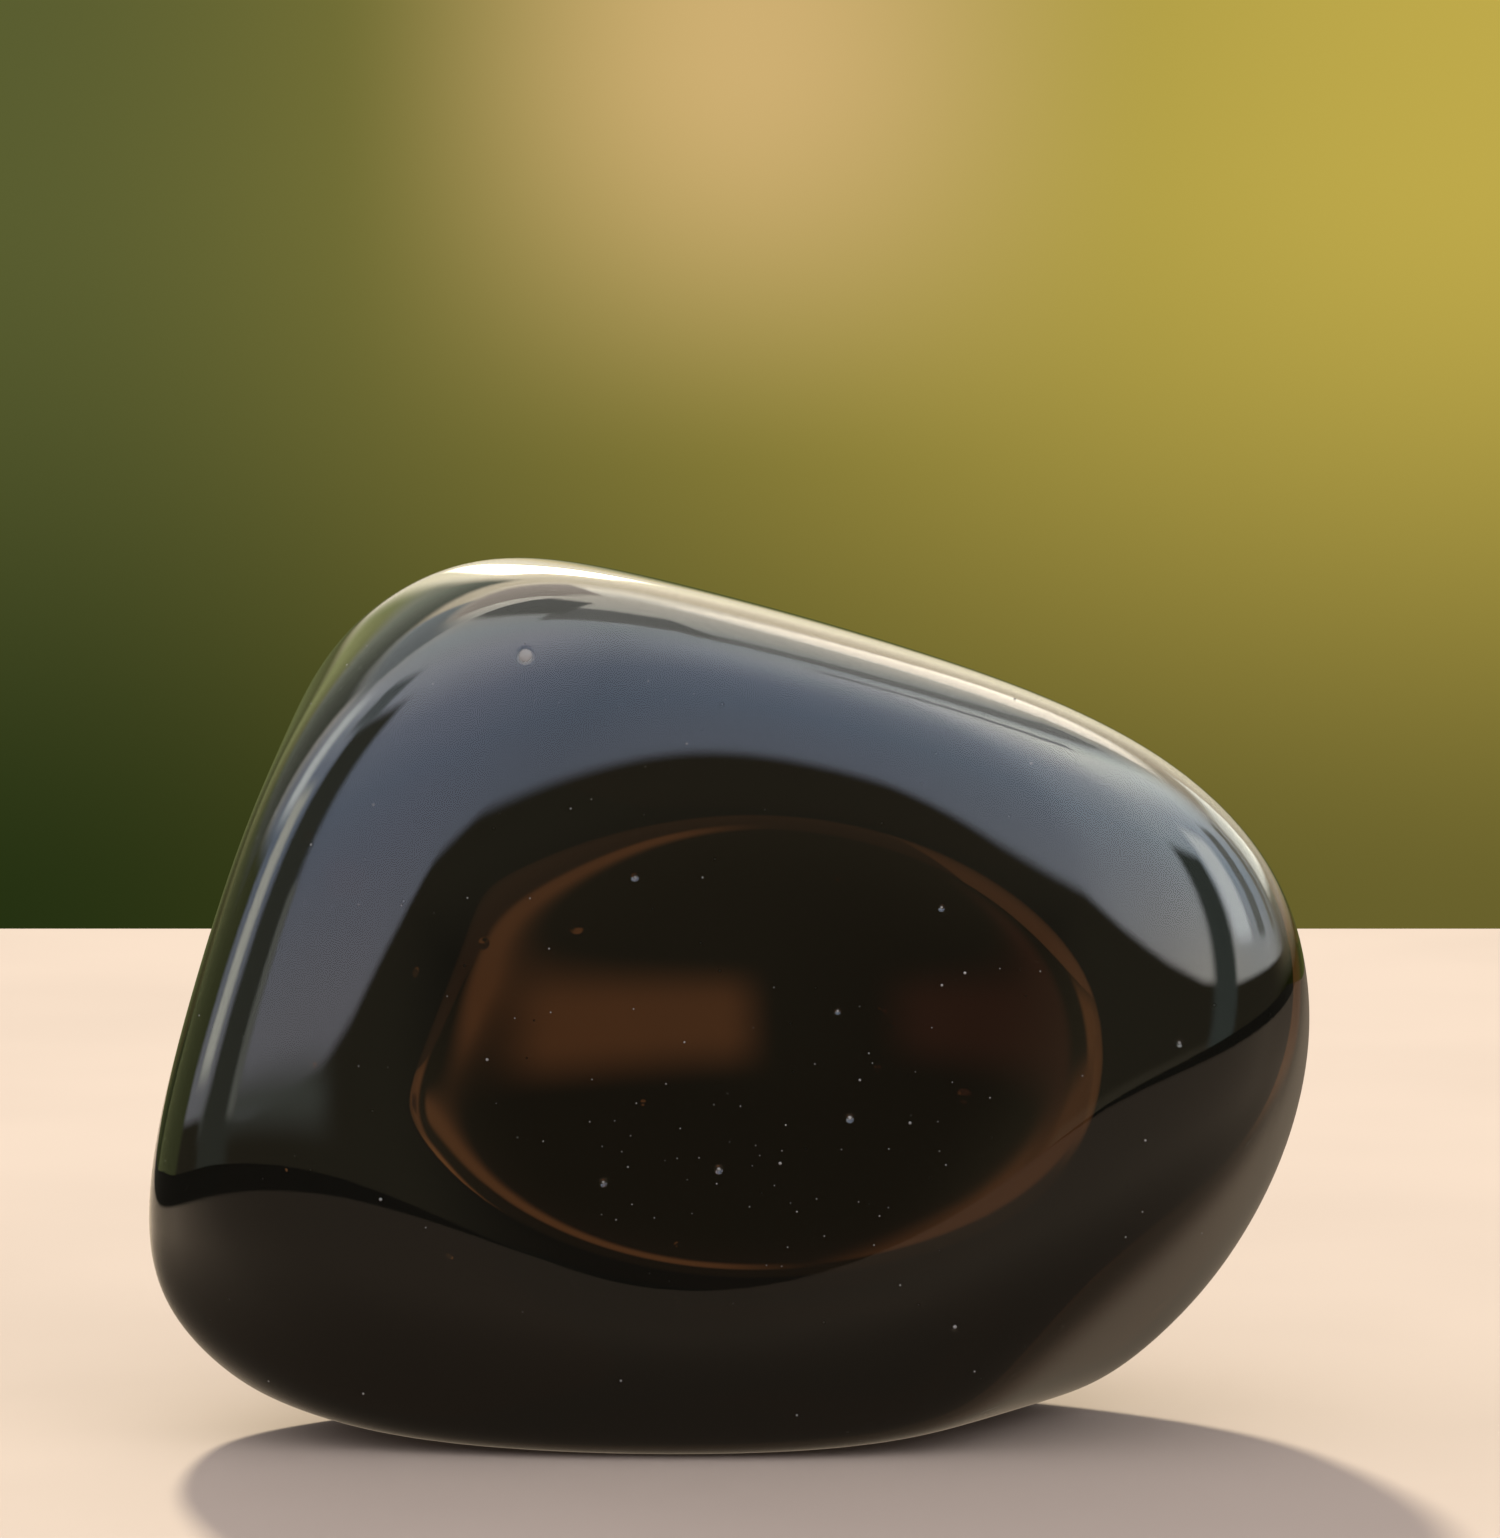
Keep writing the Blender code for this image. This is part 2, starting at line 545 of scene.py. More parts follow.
def pale_floor(settings):
    """Plain pale floor, faintly uneven. The polish sees a painted reflection of it, a glow with
    painted shade near the stone, and the glass sees it under painted shade.
    """
    material, tree, output = fresh_material("pale_floor")
    shader = add_node(tree, "ShaderNodeBsdfPrincipled")
    tree.links.new(shader.outputs["BSDF"], output.inputs["Surface"])
    uneven = place_group(tree, clouds_group(), Scale=30.0, Low=0.0, High=1.0)
    pale = (*settings.floor_colour, 1.0)
    darker = (*[channel * DIM_FLOOR_SHARE for channel in settings.floor_colour], 1.0)
    ray = add_node(tree, "ShaderNodeLightPath").outputs
    seen = blend_colours(tree, uneven, pale, darker)
    # Painted shade: the floor keeps only part of its colour where it is seen through the glass.
    painted_shade = calculate(tree, "MULTIPLY", ray["Is Transmission Ray"], 1.0 - FLOOR_KEPT_UNDER_PAINTED_SHADE)
    seen = blend_colours(tree, painted_shade, seen, (0.0, 0.0, 0.0, 1.0))
    feed(tree, shader, "Base Color", seen)
    feed(tree, shader, "Roughness", FLOOR_ROUGHNESS)
    shader.inputs["Specular IOR Level"].default_value = 0.0

    # Painted reflection: for glossy rays the floor glows with a painted lit colour. Painted shade
    # dims it in front of and beside the stone, and the dark belt shows beyond its edges.
    place = add_node(tree, "ShaderNodeTexCoord").outputs["Object"]
    axes = add_node(tree, "ShaderNodeSeparateXYZ")
    feed(tree, axes, "Vector", place)
    to_right, to_back, _ = axes.outputs
    ahead = calculate(tree, "MULTIPLY", to_back, -1.0)
    around = calculate(tree, "ARCTAN2", to_right, ahead)
    around = calculate(tree, "MULTIPLY", around, math.degrees(1.0))
    stops = [(degrees, (share / PAINTED_REFLECTION_BRIGHTEST,) * 3) for degrees, share in PAINTED_REFLECTION_AROUND]
    far = calculate(tree, "MULTIPLY", ramp_of(tree, around, stops), PAINTED_REFLECTION_BRIGHTEST)
    reach = add_node(tree, "ShaderNodeVectorMath", operation="LENGTH")
    feed(tree, reach, 0, place)
    strength = remap(tree, reach.outputs["Value"], *STONE_SHADE, PAINTED_SHADE_BESIDE_STONE, far)
    edge = calculate(
        tree,
        "MULTIPLY",
        remap(tree, to_right, *PAINTED_REFLECTION_LEFT_EDGE),
        remap(tree, to_right, *PAINTED_REFLECTION_RIGHT_EDGE, 1.0, 0.0),
    )
    painted_reflection = add_node(tree, "ShaderNodeEmission")
    lit = (*PAINTED_FLOOR_REFLECTION, 1.0)
    feed(tree, painted_reflection, "Color", blend_colours(tree, edge, (*BELT, 1.0), lit))
    feed(tree, painted_reflection, "Strength", remap(tree, edge, 0.0, 1.0, 1.0, strength, "LINEAR"))
    mix = add_node(tree, "ShaderNodeMixShader")
    for index, source in enumerate((ray["Is Glossy Ray"], shader.outputs[0], painted_reflection.outputs[0])):
        feed(tree, mix, index, source)
    tree.links.new(mix.outputs[0], output.inputs["Surface"])
    material.cycles.emission_sampling = "NONE"
    return material


# ---------------------------------------------------------------- pieces


def ball(cells):
    """A cube of even cells blown up into a ball of radius 1, as a bmesh."""
    mesh = bmesh.new()
    bmesh.ops.create_cube(mesh, size=2.0)
    bmesh.ops.subdivide_edges(mesh, edges=mesh.edges, cuts=cells - 1, use_grid_fill=True)
    for vert in mesh.verts:
        vert.co = Vector([math.tan(value * math.pi / 4) for value in vert.co]).normalized()
    return mesh


def directions_of(mesh):
    """Unit directions of a ball's vertices."""
    return unit(np.array([vert.co for vert in mesh.verts], dtype=float))


# The mesh is cut finer out to this many pit radii from a pit's middle.
FINE_REACH = 1.3


def cut_finer_around_pits(mesh, pits, cuts):
    """Cut the ball's edges near each pit, so that the pit's round shape shows."""
    centres, radii, _ = pits
    towards = unit(centres - HEART)
    reaches = np.linalg.norm(centres - HEART, axis=1)
    for _ in range(cuts):
        directions = directions_of(mesh)
        near = np.zeros(len(directions), dtype=bool)
        for direction, reach, radius in zip(towards, reaches, radii):
            near |= np.linalg.norm(directions - direction, axis=1) < FINE_REACH * radius / reach
        mesh.verts.ensure_lookup_table()
        edges = [
            edge
            for edge in mesh.edges
            if near[edge.verts[0].index] or near[edge.verts[1].index]
        ]
        bmesh.ops.subdivide_edges(mesh, edges=edges, cuts=1, use_grid_fill=True)
        mesh.verts.index_update()


def polished_stone(settings):
    """The fine surface of the stone, with its waves and pits."""
    pits = all_pits()
    mesh = ball(settings.cells)
    cut_finer_around_pits(mesh, pits, settings.pit_cuts)
    directions = directions_of(mesh)
    places = worn_surface(directions)
    places += directions * polish_depth(places, pits)[:, None]
    places[:, 2] = np.maximum(places[:, 2], 0.0)
    for vert, place in zip(mesh.verts, places):
        vert.co = place * MM
    bmesh.ops.triangulate(mesh, faces=[face for face in mesh.faces if len(face.verts) > 4])
    bmesh.ops.recalc_face_normals(mesh, faces=mesh.faces)
    data = bpy.data.meshes.new("polished_stone")
    mesh.to_mesh(data)
    mesh.free()
    data.shade_smooth()
    return link(bpy.data.objects.new("polished_stone", data))


def link(piece):
    """Put an object in the scene."""
    bpy.context.scene.collection.objects.link(piece)
    return piece


class OBSIDIAN_OT_stone(Operator):
    """Build the polished stone in its glass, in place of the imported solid"""

    bl_idname = "obsidian.stone"
    bl_label = "Polished stone"

    def execute(self, context):
        settings = context.scene.obsidian_stone
        stone = polished_stone(settings)
        stone.data.materials.append(obsidian_glass(settings))
        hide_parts(STONE_NODE)
        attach(stone, BODY)
        return {"FINISHED"}


class Speck(NamedTuple):
    """A pale speck on the front, by its place across and up and its radius."""

    to_right: float
    up: float
    radius: float


FRONT_SPECKS = (
    Speck(-5.90, 22.66, 0.27),
    Speck(-2.76, 16.49, 0.055),
    Speck(-0.38, 8.32, 0.07),
    Speck(-3.66, 7.93, 0.055),
    Speck(3.33, 9.75, 0.075),
    Speck(6.59, 13.80, 0.045),
    Speck(5.94, 15.64, 0.045),
    Speck(5.94, 13.46, 0.04),
    Speck(2.99, 12.74, 0.04),
    Speck(12.69, 11.74, 0.055),
    Speck(6.31, 3.79, 0.07),
    Speck(5.03, 9.60, 0.05),
    Speck(3.61, 10.81, 0.045),
    Speck(-6.95, 11.37, 0.05),
    Speck(-9.98, 7.39, 0.05),
    Speck(1.35, 8.49, 0.05),
)


class SpeckCloud(NamedTuple):
    """A loose cloud of fine specks on the front: its middle, half sizes and count."""

    to_right: float
    up: float
    half_width: float
    half_height: float
    count: int


FRONT_CLOUD = SpeckCloud(0.8, 9.6, 7.5, 4.0, 55)
SPECK_RADIUS = (0.015, 0.036)
CLOUD_RADIUS = (0.012, 0.026)
SPECK_SEED = 5
# A speck is sunk into the glass by this share of its radius.
SUNK = 0.55
# A speck's height over its width.
SPECK_FLATNESS = 0.6


def speck_places(count):
    """Directions and radii of all specks."""
    rng = np.random.default_rng(SPECK_SEED)
    directions = [towards_front(speck.to_right, speck.up) for speck in FRONT_SPECKS]
    radii = [speck.radius for speck in FRONT_SPECKS]
    cloud = FRONT_CLOUD
    for across, along in rng.normal(scale=0.5, size=(cloud.count, 2)):
        spot = (cloud.to_right + across * cloud.half_width, cloud.up + along * cloud.half_height)
        directions.append(towards_front(*spot))
    radii += list(rng.uniform(*CLOUD_RADIUS, size=cloud.count))
    directions += list(scattered_directions(count, rng))
    radii += list(rng.uniform(*SPECK_RADIUS, size=count))
    return np.array(directions), np.array(radii)


def pale_specks(settings):
    """All specks as one mesh of small sunken grains."""
    directions, radii = speck_places(settings.count)
    pits = all_pits()
    places = worn_surface(directions)
    places += directions * polish_depth(places, pits)[:, None]
    mesh = bmesh.new()
    for place, direction, radius in zip(places, directions, radii):
        if place[2] < QUIET_HEIGHT:
            continue
        normal = surface_normal(place)
        turn = Vector(normal).to_track_quat("Z", "Y").to_matrix().to_4x4()
        centre = (place - normal * radius * SUNK * SPECK_FLATNESS) * MM
        size = Matrix.Diagonal((radius * MM, radius * MM, radius * SPECK_FLATNESS * MM, 1.0))
        bmesh.ops.create_icosphere(
            mesh, subdivisions=2, radius=1.0, matrix=Matrix.Translation(centre) @ turn @ size
        )
    data = bpy.data.meshes.new("pale_specks")
    mesh.to_mesh(data)
    mesh.free()
    data.shade_smooth()
    return link(bpy.data.objects.new("pale_specks", data))


def surface_normal(place):
    """Outward normal of the worn surface at a place on it."""
    step = 0.01
    offset = place - HEART
    ahead = outside(offset + np.eye(3) * step)
    behind = outside(offset - np.eye(3) * step)
    return unit(ahead - behind)


class OBSIDIAN_OT_specks(Operator):
    """Sprinkle the pale specks over the polished surface"""

    bl_idname = "obsidian.specks"
    bl_label = "Pale specks"

    def execute(self, context):
        settings = context.scene.obsidian_specks
        specks = pale_specks(settings)
        specks.data.materials.append(pale_grit(settings))
        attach(specks, BODY)
        return {"FINISHED"}


# ---------------------------------------------------------------- stage

FLOOR_SIDE = 0.6  # how far the floor reaches to the left, to the right and in front
FLOOR_THICKNESS = 0.02
# Beyond this the floor is too far away to shine through the glass.
NEAR_FLOOR = 0.068

SENSOR = 36.0
FRAME_HEIGHT = 1538  # pixels of the picture's longer side
PIXEL_SIZE = 0.0293  # millimetres that one of those pixels covers at the stone
AIM = Vector((0.50, 0.97, 18.5)) * MM

# All light around the stage is described by azimuth and elevation in degrees. Azimuth 0 is in front
# of the stone, 90 is on its right and 180 is behind it.


class Window(NamedTuple):
    """A patch of light or shade with soft edges, as brightness in red, green and blue."""

    azimuth: float
    half_azimuth: float
    low: float
    high: float
    soft: float
    colour: tuple


# What the polish reflects. Low trees stand as a dark belt under a bright open sky.
BELT = (0.13, 0.12, 0.09)
BELT_EDGE = (0.32, 0.28, 0.18)
# The belt gives way to the sky over this range around its top, and takes its edge colour over
# these ranges to the sides and upwards.
BELT_FADE = (-0.7, 0.9)
EDGE_ASIDE = (5, 18)
EDGE_UP = (9, 16)
SKY_IN_FRONT = (
    (4, (2.2, 2.3, 2.5)),
    (10, (2.3, 2.45, 2.75)),
    (20, (2.0, 2.35, 3.0)),
    (26, (2.0, 2.5, 3.3)),
    (34, (2.6, 3.1, 4.0)),
    (46, (4.8, 5.3, 6.0)),
    (54, (5.0, 5.5, 5.7)),
    (62, (5.4, 5.5, 5.2)),
    (70, (7.0, 6.8, 6.0)),
    (90, (8.0, 7.4, 6.2)),
)
# What that sky is multiplied by at each azimuth, up to where it meets the light overhead.
SKY_SIDES = (
    (-60, (1.0, 0.95, 0.9)),
    (-20, (0.97, 0.90, 0.89)),
    (-7, (0.85, 0.83, 0.82)),
    (4, (1.03, 1.0, 0.98)),
    (9, (1.12, 1.08, 1.02)),
    (17, (1.33, 1.25, 1.15)),
    (22, (1.70, 1.58, 1.40)),
    (29, (1.95, 1.78, 1.52)),
    (39, (2.40, 2.20, 1.80)),
    (60, (2.2, 2.1, 1.8)),
)
OVERHEAD = (48, 58)
BRIGHTEST = 2.5
# The sky in front turns into the sky behind over this share of the way back.
FRONT_TO_BACK = (-0.3, 0.3)
SKY_BEHIND = (
    (-1, (0.10, 0.11, 0.03)),
    (2, (0.5, 0.48, 0.28)),
    (5, (1.0, 0.85, 0.5)),
    (10, (1.6, 1.45, 1.1)),
    (16, (2.2, 2.0, 1.4)),
    (24, (3.3, 3.0, 2.2)),
    (33, (4.2, 3.7, 2.7)),
    (42, (4.7, 4.1, 3.0)),
    (53, (5.8, 5.0, 3.6)),
    (63, (9.0, 8.0, 6.2)),
    (70, (12.0, 11.0, 9.0)),
    (90, (8.0, 7.4, 6.2)),
)
# Height of the belt in front, by azimuth.
BELT_TOP = (
    (-60, 5.0),
    (-36, 3.5),
    (-28, 5.0),
    (-24.5, 6.5),
    (-21, 9.0),
    (-18.5, 11.5),
    (-16, 14.2),
    (-14, 17.0),
    (-11, 18.5),
    (-4, 18.2),
    (4, 18.0),
    (9, 16.8),
    (17, 15.8),
    (22, 13.5),
    (29, 10.5),
    (36, 8.0),
    (45, 6.5),
)
TALLEST = 30.0
REFLECTED = (
    # a lighter gap low on the left, and the far floor on the right
    Window(-40, 16, 3, 6.5, 2.2, (0.9, 0.95, 0.8)),
    Window(30, 13, -20, 0.1, 0.5, (0.52, 0.45, 0.30)),
    # dark trees on both sides, with open sky between them
    Window(-47, 6.5, -20, 40, 2, (0.5, 0.52, 0.4)),
    Window(-54, 5, 39, 47, 2, (1.4, 1.6, 1.6)),
    Window(-41, 1.2, 4, 20, 1, (1.7, 1.75, 1.5)),
    Window(-62, 4.5, 9, 32, 2, (6.2, 6.2, 5.4)),
    Window(-72, 5, 29, 45, 3, (7.8, 8.2, 8.0)),
    Window(-119, 45, -20, 25, 3, (0.6, 0.65, 0.28)),
    Window(-130, 36, 20, 46, 4, (0.8, 0.85, 0.65)),
    Window(43, 4, -20, 26, 1.5, (0.6, 0.7, 0.6)),
    Window(54, 5, 13, 32, 2, (9.5, 10.0, 10.0)),
    Window(70, 4, 13, 36, 1.5, (2.2, 2.3, 2.1)),
    Window(89, 3, 13, 38, 1.5, (2.6, 2.5, 2.0)),
    Window(118, 16, 19, 38, 3, (8.6, 8.5, 7.3)),
    Window(-150, 24, -20, 7, 3, (0.16, 0.18, 0.07)),
    Window(-105, 25, 45, 60, 4, (2.3, 2.5, 2.5)),
    # branches overhead, bright gaps between them, and last the low sun
    Window(42, 36, 56, 62, 1.2, (3.4, 3.4, 3.2)),
    Window(-8, 20, 58, 71, 1.5, (2.6, 2.6, 2.4)),
    Window(30, 16, 49, 51, 0.7, (4.0, 4.0, 4.1)),
    Window(-48, 26, 63, 80, 2, (2.0, 2.0, 1.8)),
    Window(-135, 40, 60, 84, 3, (4.6, 4.0, 3.4)),
    Window(124, 26, 50, 79, 4, (15.0, 13.6, 11.2)),
    Window(-177, 5, 15, 30, 2, (26.0, 24.0, 19.0)),
)

# What shines through the glass from behind: shade, with dim warm light on both sides.
SHADE_BEHIND = (
    (-2, (0.05, 0.055, 0.02)),
    (4, (0.07, 0.07, 0.045)),
    (90, (0.10, 0.09, 0.07)),
)
SHINING_THROUGH = (
    Window(143, 9, -8, 18, 3, (1.0, 0.75, 0.48)),
    Window(148, 8, 15, 30, 4, (2.0, 1.5, 0.9)),
    Window(-142, 14, -8, 15, 5, (0.9, 0.68, 0.42)),
    Window(-140, 20, 26, 50, 9, (0.18, 0.13, 0.08)),
    Window(-166, 11, 1, 12, 2, (0.62, 0.45, 0.28)),
)

# What the floor and the specks are lit by, apart from the low sun.
SOFT_LIGHT = (0.80, 0.77, 0.75)

# The plain backdrop: four soft corner colours and one warm glow.
BACKDROP_LOW = ((0.018, 0.030, 0.006), (0.14, 0.12, 0.025))
BACKDROP_HIGH = ((0.10, 0.11, 0.03), (0.52, 0.40, 0.07))
BACKDROP_SPAN = 4.5
BACKDROP_ELEVATIONS = (-7.0, -2.5)
BACKDROP_GLOW = Window(180, 1.2, -3.2, 2.0, 1.2, (0.62, 0.43, 0.17))

# A low sun behind the stone draws its shadow towards the front.
SUN_AZIMUTH = -172
SUN_TILT = 30
SUN_COLOUR = (4.8, 4.5, 3.4)
SUN_ANGLE = 4


class Glow(NamedTuple):
    """A soft patch of brown light behind the stone, seen only through the glass."""

    to_right: float
    up: float
    half_width: float
    half_height: float
    soft_width: float
    soft_height: float
    colour: tuple


GLOW_DISTANCE = 32.0  # behind the stone's middle
GLOWS = (
    Glow(-2.7, 8.55, 3.3, 1.15, 0.9, 0.8, (0.90, 0.68, 0.42)),
    Glow(7.1, 8.9, 1.9, 1.1, 1.0, 0.8, (0.27, 0.17, 0.14)),
)


def ramp_of(tree, value, stops):
    """Colours by a value in degrees, from a list of stops."""
    low, high = stops[0][0], stops[-1][0]
    ramp = add_node(tree, "ShaderNodeValToRGB")
    feed(tree, ramp, "Fac", remap(tree, value, low, high, kind="LINEAR"))
    elements = ramp.color_ramp.elements
    while len(elements) < len(stops):
        elements.new(1.0)
    for element, (degrees, colour) in zip(elements, stops):
        element.position = (degrees - low) / (high - low)
        element.color = (*colour, 1.0)
    return ramp.outputs["Color"]


def window_group():
    """1 inside a soft-edged window across and up, 0 outside it."""
    group = bpy.data.node_groups.get("soft_window")
    if group:
        return group
    group = bpy.data.node_groups.new("soft_window", "ShaderNodeTree")
    for name in ("Across", "Up", "Middle", "Half Width", "Low", "High", "Soft", "Soft Up"):
        new_socket(group, name, "NodeSocketFloat", "INPUT", 1.0)
    new_socket(group, "Mask", "NodeSocketFloat", "OUTPUT")
    given = add_node(group, "NodeGroupInput").outputs
    outputs = add_node(group, "NodeGroupOutput")
    turned = calculate(group, "SUBTRACT", given["Across"], given["Middle"])
    around = add_node(group, "ShaderNodeMath", operation="WRAP")
    for index, source in enumerate((turned, -180.0, 180.0)):
        feed(group, around, index, source)
    aside = calculate(group, "ABSOLUTE", around.outputs[0])

    def fade(value, edge, soft, to_low, to_high):
        start = calculate(group, "SUBTRACT", edge, soft)
        end = calculate(group, "ADD", edge, soft)
        return remap(group, value, start, end, to_low, to_high)

    mask = fade(aside, given["Half Width"], given["Soft"], 1.0, 0.0)
    over = fade(given["Up"], given["Low"], given["Soft Up"], 0.0, 1.0)
    under = fade(given["Up"], given["High"], given["Soft Up"], 1.0, 0.0)
    mask = calculate(group, "MULTIPLY", mask, calculate(group, "MULTIPLY", over, under))
    group.links.new(mask, outputs.inputs["Mask"])
    return group


def add_window(tree, azimuth, elevation, below, window):
    """Lay a window of light over the colour below it."""
    node = add_node(tree, "ShaderNodeGroup", node_tree=window_group())
    for name, value in (
        ("Across", azimuth),
        ("Up", elevation),
        ("Middle", window.azimuth),
        ("Half Width", window.half_azimuth),
        ("Low", window.low),
        ("High", window.high),
        ("Soft", window.soft),
        ("Soft Up", window.soft),
    ):
        feed(tree, node, name, value)
    return blend_colours(tree, node.outputs[0], below, (*window.colour, 1.0))


def reflected_light(tree, azimuth, elevation, depth):
    """Colour of the surroundings as the polish reflects them."""
    heights = [(place, (height / TALLEST,) * 3) for place, height in BELT_TOP]
    top = calculate(tree, "MULTIPLY", ramp_of(tree, azimuth, heights), TALLEST)
    over_belt = calculate(tree, "SUBTRACT", elevation, top)
    open_sky = remap(tree, over_belt, *BELT_FADE)
    sides = [(place, tuple(np.array(share) / BRIGHTEST)) for place, share in SKY_SIDES]
    side = blend_colours(
        tree, 1.0, ramp_of(tree, azimuth, sides), (BRIGHTEST,) * 3 + (1.0,), "MULTIPLY"
    )
    overhead = remap(tree, elevation, *OVERHEAD)
    share = blend_colours(tree, overhead, side, (1.0, 1.0, 1.0, 1.0))
    sky = ramp_of(tree, elevation, SKY_IN_FRONT)
    sky = blend_colours(tree, 1.0, sky, share, "MULTIPLY")
    aside = remap(tree, calculate(tree, "ABSOLUTE", azimuth), *EDGE_ASIDE)
    edge = calculate(tree, "MAXIMUM", aside, remap(tree, elevation, *EDGE_UP))
    belt = blend_colours(tree, edge, (*BELT, 1.0), (*BELT_EDGE, 1.0))
    front = blend_colours(tree, open_sky, belt, sky)
    behind = remap(tree, depth, *FRONT_TO_BACK)
    colour = blend_colours(tree, behind, front, ramp_of(tree, elevation, SKY_BEHIND))
    for window in REFLECTED:
        colour = add_window(tree, azimuth, elevation, colour, window)
    return colour


def light_through(tree, azimuth, elevation):
    """Colour of the surroundings as they shine through the glass."""
    colour = ramp_of(tree, elevation, SHADE_BEHIND)
    for window in SHINING_THROUGH:
        colour = add_window(tree, azimuth, elevation, colour, window)
    return colour


def backdrop(tree, azimuth, elevation, across):
    """Colour of the plain backdrop behind the floor."""
    degrees = calculate(tree, "MULTIPLY", across, math.degrees(1.0))
    side = remap(tree, degrees, -BACKDROP_SPAN, BACKDROP_SPAN)
    low, high = (
        blend_colours(tree, side, (*left, 1.0), (*right, 1.0))
        for left, right in (BACKDROP_LOW, BACKDROP_HIGH)
    )
    rows = blend_colours(tree, remap(tree, elevation, *BACKDROP_ELEVATIONS), low, high)
    return add_window(tree, azimuth, elevation, rows, BACKDROP_GLOW)


def surroundings():
    """World light, apart for the polish, the glass, the camera and all else."""
    world = bpy.data.worlds.new("studio")
    bpy.context.scene.world = world
    world.use_nodes = True
    tree = world.node_tree
    tree.nodes.clear()
    output = add_node(tree, "ShaderNodeOutputWorld")
    background = add_node(tree, "ShaderNodeBackground")
    tree.links.new(background.outputs["Background"], output.inputs["Surface"])

    direction = add_node(tree, "ShaderNodeTexCoord").outputs["Generated"]
    axes = add_node(tree, "ShaderNodeSeparateXYZ")
    feed(tree, axes, "Vector", direction)
    across, depth, up = axes.outputs
    to_degrees = math.degrees(1.0)
    elevation = calculate(tree, "MULTIPLY", calculate(tree, "ARCSINE", up), to_degrees)
    ahead = calculate(tree, "MULTIPLY", depth, -1.0)
    azimuth = calculate(tree, "MULTIPLY", calculate(tree, "ARCTAN2", across, ahead), to_degrees)

    ray = add_node(tree, "ShaderNodeLightPath").outputs
    colour = (*SOFT_LIGHT, 1.0)
    for kind, light in (
        ("Is Glossy Ray", reflected_light(tree, azimuth, elevation, depth)),
        ("Is Transmission Ray", light_through(tree, azimuth, elevation)),
        ("Is Camera Ray", backdrop(tree, azimuth, elevation, across)),
    ):
        colour = blend_colours(tree, ray[kind], colour, light)
    feed(tree, background, "Color", colour)


def low_sun():
    """The sun that draws the shadow. The polish reflects a window of the world instead."""
    data = bpy.data.lights.new("low_sun", "SUN")
    data.energy = max(SUN_COLOUR)
    data.color = [channel / max(SUN_COLOUR) for channel in SUN_COLOUR]
    data.angle = math.radians(SUN_ANGLE)
    sun = link(bpy.data.objects.new("low_sun", data))
    towards_sun = Vector(heading(SUN_AZIMUTH - 90, SUN_TILT))
    sun.rotation_euler = towards_sun.to_track_quat("Z", "Y").to_euler()
    sun.visible_glossy = False
    sun.visible_transmission = False


def rear_glow():
    """Cards behind the stone that light the glass through its back."""
    mesh = bmesh.new()
    for index, glow in enumerate(GLOWS):
        wide = glow.half_width + glow.soft_width
        high = glow.half_height + glow.soft_height
        corners = [
            mesh.verts.new(
                Vector((glow.to_right + side * wide, GLOW_DISTANCE, glow.up + lift * high)) * MM
            )
            for side, lift in ((-1, -1), (1, -1), (1, 1), (-1, 1))
        ]
        mesh.faces.new(corners).material_index = index
    data = bpy.data.meshes.new("rear_glow")
    mesh.to_mesh(data)
    mesh.free()
    for glow in GLOWS:
        data.materials.append(glow_card(glow))
    cards = link(bpy.data.objects.new("rear_glow", data))
    cards.visible_camera = False
    cards.visible_diffuse = False
    cards.visible_glossy = False
    cards.visible_shadow = False
    return cards


def glow_card(glow):
    """Light that fades out towards the edges of its card."""
    material, tree, output = fresh_material("brown_glow")
    shader = add_node(tree, "ShaderNodeBsdfPrincipled")
    tree.links.new(shader.outputs["BSDF"], output.inputs["Surface"])
    shader.inputs["Base Color"].default_value = (0.0, 0.0, 0.0, 1.0)
    shader.inputs["Specular IOR Level"].default_value = 0.0
    shader.inputs["Emission Color"].default_value = (*glow.colour, 1.0)
    shader.inputs["Emission Strength"].default_value = 1.0
    place = add_node(tree, "ShaderNodeTexCoord")
    axes = add_node(tree, "ShaderNodeSeparateXYZ")
    feed(tree, axes, "Vector", place.outputs["Object"])
    mask = add_node(tree, "ShaderNodeGroup", node_tree=window_group())
    for name, value in (
        ("Across", axes.outputs["X"]),
        ("Up", axes.outputs["Z"]),
        ("Middle", glow.to_right * MM),
        ("Half Width", glow.half_width * MM),
        ("Low", (glow.up - glow.half_height) * MM),
        ("High", (glow.up + glow.half_height) * MM),
        ("Soft", glow.soft_width * MM),
        ("Soft Up", glow.soft_height * MM),
    ):
        feed(tree, mask, name, value)
    feed(tree, shader, "Alpha", mask.outputs["Mask"])
    material.cycles.emission_sampling = "NONE"
    return material


def floor_slab(name, front, back):
    """A thin slab from front to back, whose top is the plane that the stone rests on."""
    mesh = bmesh.new()
    bmesh.ops.create_cube(mesh, size=1.0)
    size = (2 * FLOOR_SIDE, back - front, FLOOR_THICKNESS)
    bmesh.ops.scale(mesh, verts=mesh.verts, vec=size)
    middle = (0.0, (front + back) / 2, -FLOOR_THICKNESS / 2)
    bmesh.ops.translate(mesh, verts=mesh.verts, vec=middle)
    data = bpy.data.meshes.new(name)
    mesh.to_mesh(data)
    mesh.free()
    return link(bpy.data.objects.new(name, data))


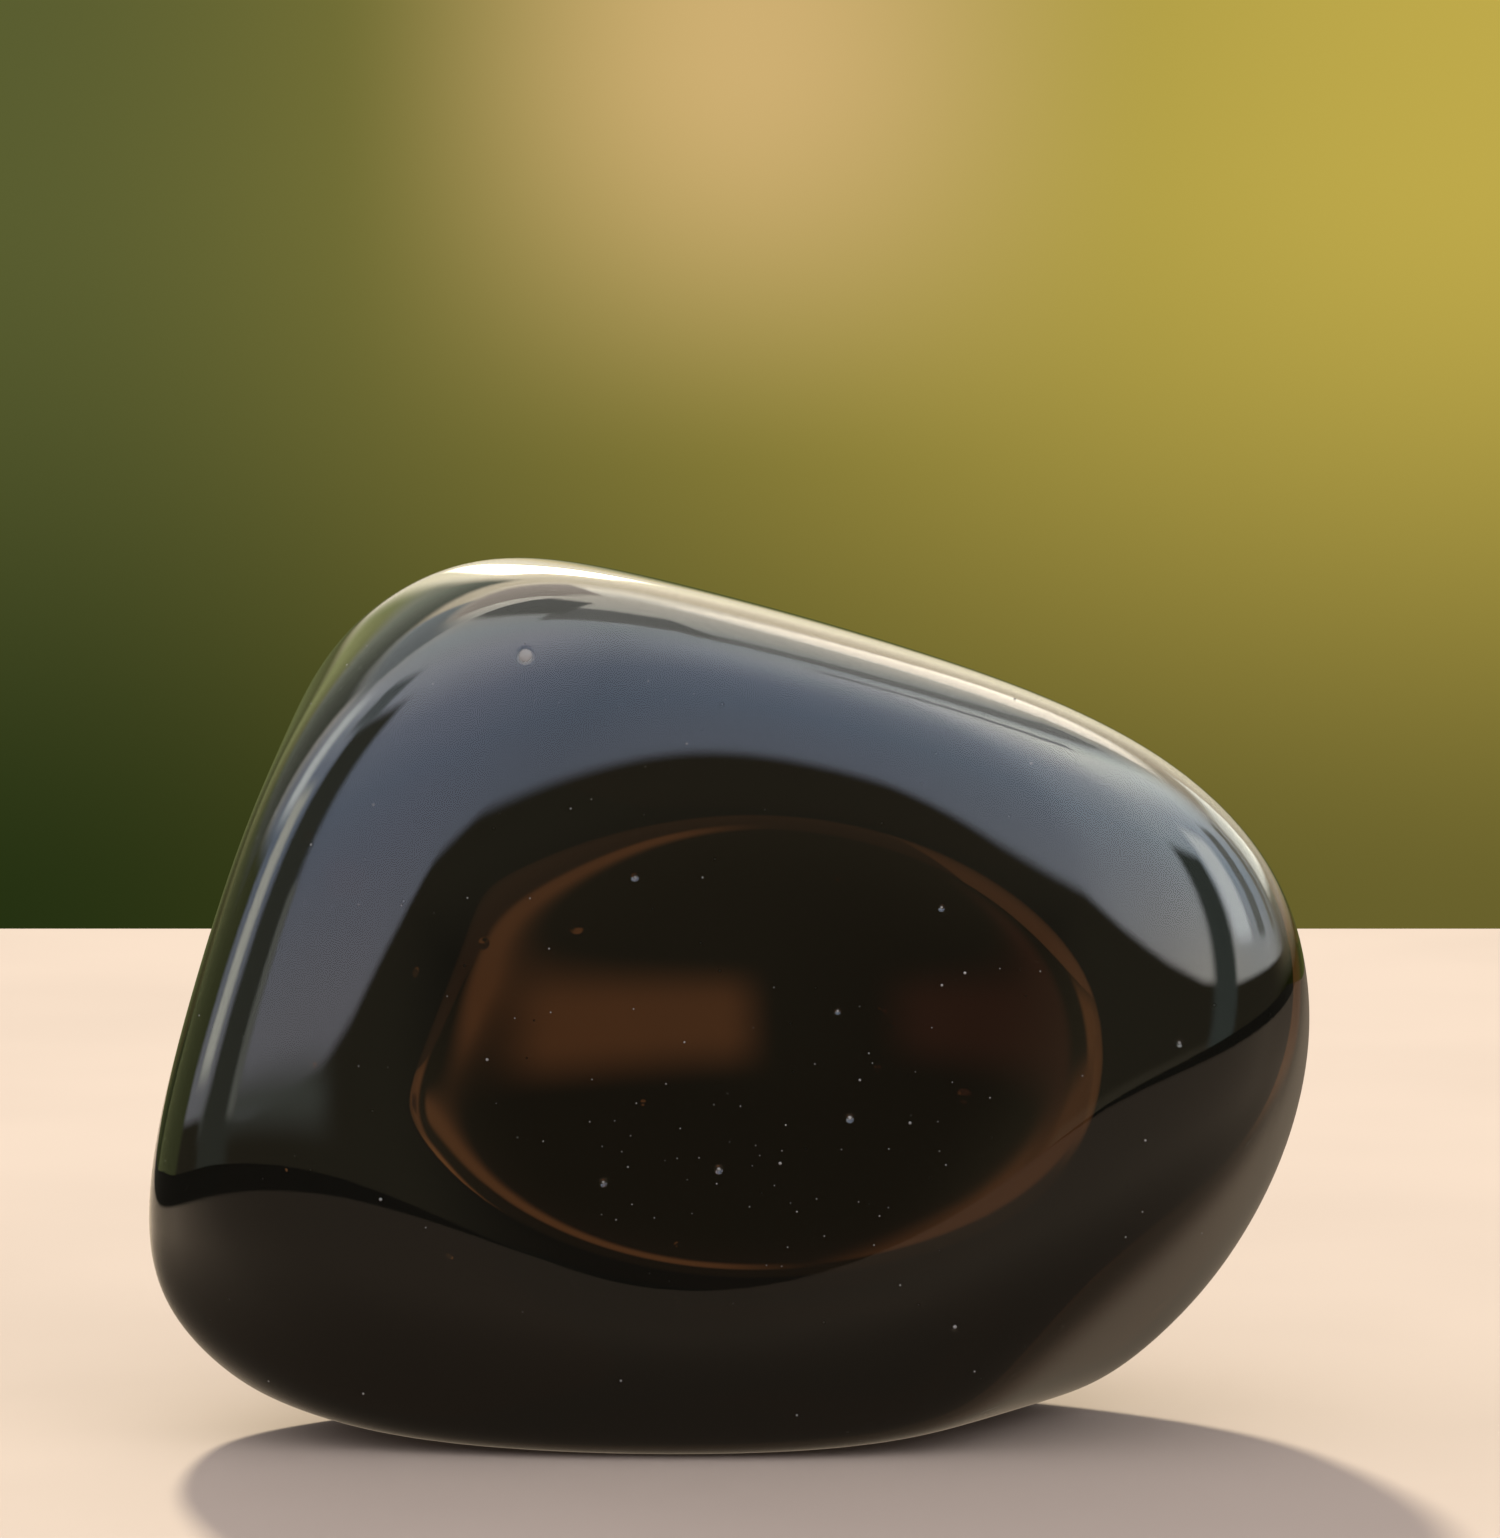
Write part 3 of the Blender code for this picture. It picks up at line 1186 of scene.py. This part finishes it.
def place_camera(settings):
    """The camera, with a lens that gives the stone its place and size in the picture."""
    data = bpy.data.cameras.new("camera")
    data.sensor_width = SENSOR
    data.lens = SENSOR * settings.camera_distance / (PIXEL_SIZE * MM * FRAME_HEIGHT)
    data.clip_start = 0.01
    camera = link(bpy.data.objects.new("camera", data))
    tilt = settings.camera_tilt
    away = Vector((0.0, -math.cos(tilt), math.sin(tilt)))
    camera.location = AIM + away * settings.camera_distance
    camera.rotation_euler = (math.pi / 2 - tilt, 0.0, 0.0)
    bpy.context.scene.camera = camera


class OBSIDIAN_OT_stage(Operator):
    """Set up the plain floor, the soft light and the camera"""

    bl_idname = "obsidian.stage"
    bl_label = "Stage"

    def execute(self, context):
        settings = context.scene.obsidian_stage
        near = floor_slab("floor", -FLOOR_SIDE, NEAR_FLOOR)
        far = floor_slab("far_floor", NEAR_FLOOR, settings.floor_back)
        far.visible_transmission = False
        material = pale_floor(settings)
        for floor in (near, far):
            floor.data.materials.append(material)
        glow = rear_glow()
        surroundings()
        low_sun()
        place_camera(settings)
        context.scene.view_settings.view_transform = "Standard"
        return {"FINISHED"}


class OBSIDIAN_PT_panel(Panel):
    """Settings and steps of the obsidian chunk"""

    bl_idname = "OBSIDIAN_PT_panel"
    bl_label = "Obsidian chunk"
    bl_space_type = "VIEW_3D"
    bl_region_type = "UI"
    bl_category = "Obsidian"

    def draw(self, context):
        for holder, operator in STEPS:
            box = self.layout.box()
            settings = getattr(context.scene, holder)
            for name in settings.bl_rna.properties.keys():
                if name not in {"rna_type", "name"}:
                    box.prop(settings, name)
            box.operator(operator)


STEPS = (
    ("obsidian_stone", "obsidian.stone"),
    ("obsidian_specks", "obsidian.specks"),
    ("obsidian_stage", "obsidian.stage"),
)
SETTINGS = {
    "obsidian_stone": StoneSettings,
    "obsidian_specks": SpeckSettings,
    "obsidian_stage": StageSettings,
}
CLASSES = (
    *SETTINGS.values(),
    OBSIDIAN_OT_stone,
    OBSIDIAN_OT_specks,
    OBSIDIAN_OT_stage,
    OBSIDIAN_PT_panel,
)


def register():
    """Register the classes and hang the settings on the scene."""
    for cls in CLASSES:
        bpy.utils.register_class(cls)
    for holder, cls in SETTINGS.items():
        setattr(bpy.types.Scene, holder, PointerProperty(type=cls))


def unregister():
    """Take the settings and the classes away again."""
    for holder in SETTINGS:
        delattr(bpy.types.Scene, holder)
    for cls in reversed(CLASSES):
        bpy.utils.unregister_class(cls)


def main():
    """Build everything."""
    register()
    for _, operator in STEPS:
        group, name = operator.split(".")
        getattr(getattr(bpy.ops, group), name)()


if __name__ == "__main__":
    main()
